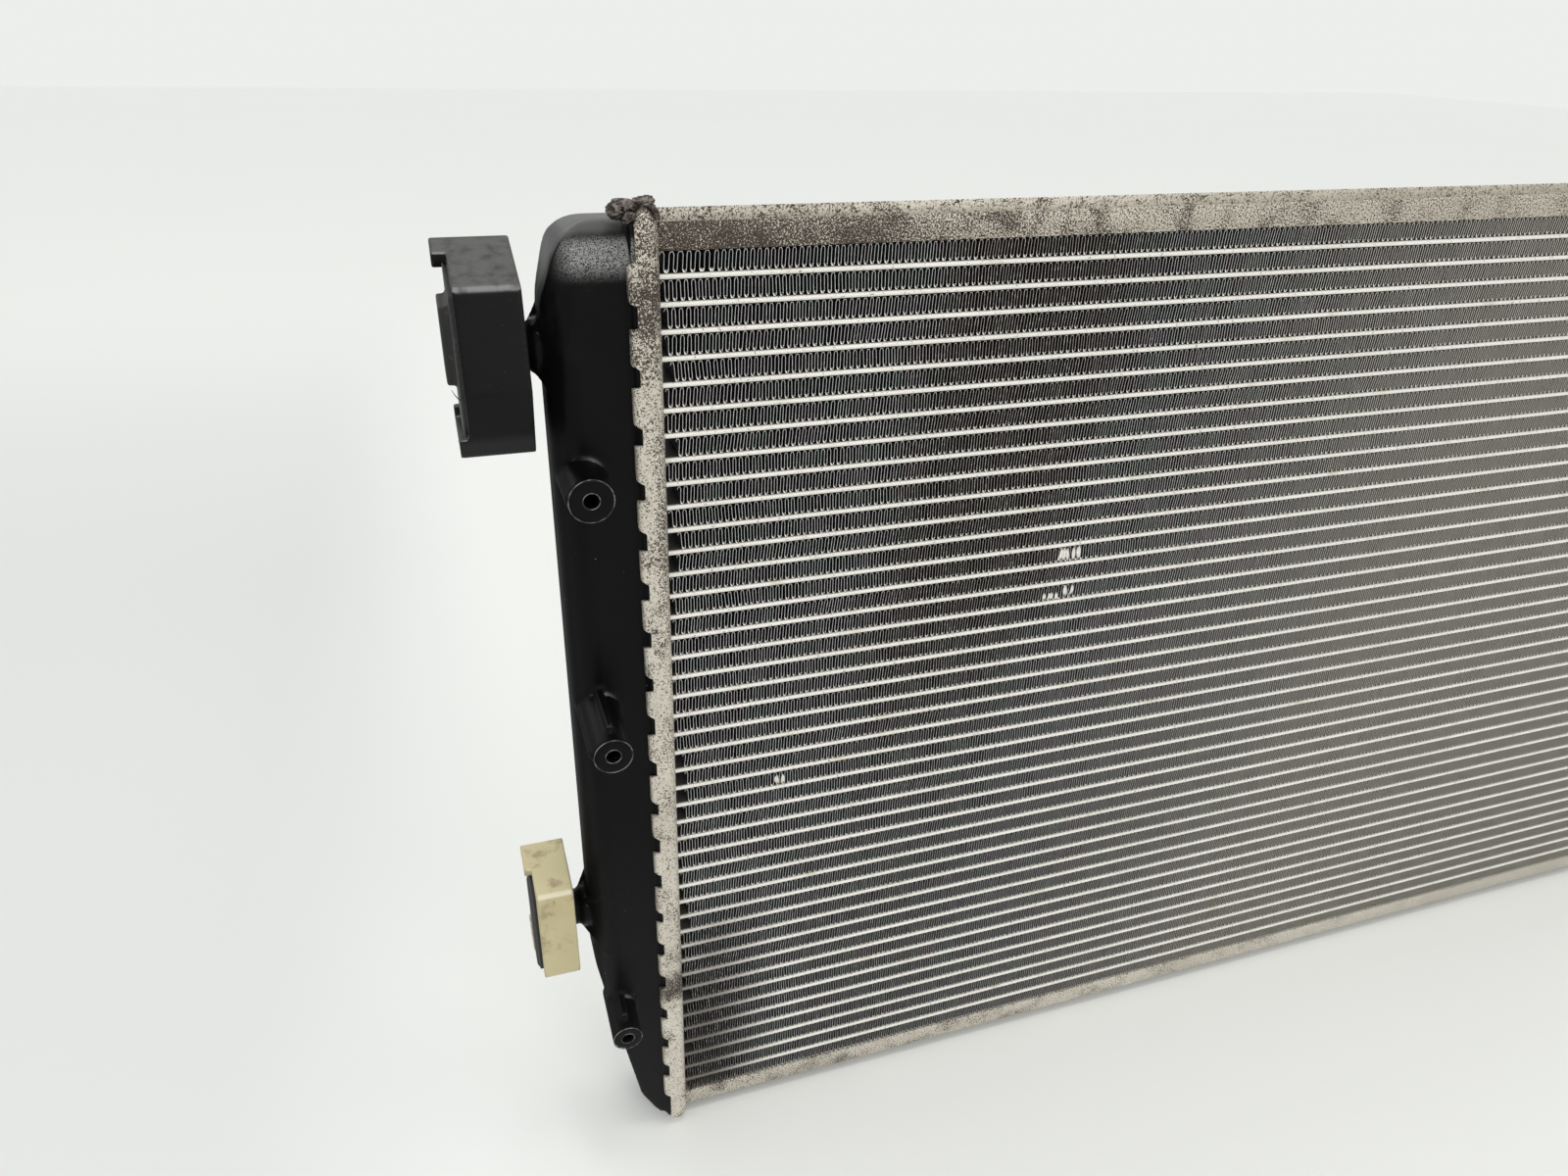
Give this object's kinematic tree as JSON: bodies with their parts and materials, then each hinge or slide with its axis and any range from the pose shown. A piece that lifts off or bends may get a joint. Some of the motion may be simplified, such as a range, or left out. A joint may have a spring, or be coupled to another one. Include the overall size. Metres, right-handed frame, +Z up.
{
  "type": "car radiator",
  "caption": "Crossflow car radiator: flat tube and folded fin core between crimped plastic end tanks, with swivelling rubber-bushed side brackets",
  "frame": {"origin": "centre of the footprint, level with the bottom ends of the header plates", "axes": "+Z up, -Y towards the front face that carries the screw bosses, +X to the right seen from the front"},
  "size_m": [0.873, 0.104, 0.48],
  "materials": {
    "tube_aluminium": "brazed, bare edges",
    "fin_aluminium": "dusty, dull grey",
    "plate_aluminium": "pressed sheet, speckled with dirt",
    "seal_rubber": "matte",
    "tank_plastic": "satin, moulded",
    "black_bracket_plastic": "satin, moulded",
    "cream_bracket_plastic": "scuffed, dirty edges",
    "bush_rubber": "matte",
    "plug_plastic": "satin"
  },
  "bodies": {
    "radiator": {"flat_tubes": "tube_aluminium", "fin_strips": "fin_aluminium", "top_side_plate": "plate_aluminium", "bottom_side_plate": "plate_aluminium", "left_header_plate": "plate_aluminium", "right_header_plate": "plate_aluminium", "left_header_seal": "seal_rubber", "right_header_seal": "seal_rubber", "left_tank": "tank_plastic", "right_tank": "tank_plastic"},
    "upper_left_mount": {"upper_left_bracket": "black_bracket_plastic", "upper_left_bush": "bush_rubber"},
    "lower_left_mount": {"lower_left_bracket": "cream_bracket_plastic", "lower_left_bush": "bush_rubber"},
    "upper_right_mount": {"upper_right_bracket": "black_bracket_plastic", "upper_right_bush": "bush_rubber"},
    "lower_right_mount": {"lower_right_bracket": "cream_bracket_plastic", "lower_right_bush": "bush_rubber"},
    "drain_seal": {"drain_seal": "seal_rubber"},
    "drain_plug": {"drain_plug": "plug_plastic"}
  },
  "joints": [
    {"name": "upper_left_swivel", "type": "hinge", "parent": "radiator", "child": "upper_left_mount", "pos_m": [-0.415, 0, 0.429], "axis": [1, 0, 0], "continuous": true},
    {"name": "lower_left_swivel", "type": "hinge", "parent": "radiator", "child": "lower_left_mount", "pos_m": [-0.415, 0, 0.152], "axis": [1, 0, 0], "continuous": true},
    {"name": "upper_right_swivel", "type": "hinge", "parent": "radiator", "child": "upper_right_mount", "pos_m": [0.415, 0, 0.429], "axis": [1, 0, 0], "continuous": true},
    {"name": "lower_right_swivel", "type": "hinge", "parent": "radiator", "child": "lower_right_mount", "pos_m": [0.415, 0, 0.152], "axis": [1, 0, 0], "continuous": true},
    {"name": "drain_seal_travel", "type": "slide", "parent": "radiator", "child": "drain_seal", "axis": [0, 1, 0], "range_m": [0, 0.0061]},
    {"name": "drain_plug_turn", "type": "hinge", "parent": "drain_seal", "child": "drain_plug", "pos_m": [0.382, 0.03, 0.054], "axis": [0, 1, 0], "range_deg": [0, 1080]}
  ],
  "couplings": [
    {"joint": "drain_seal_travel", "follows": "drain_plug_turn", "m_per_rad": 0.00031831}
  ]
}
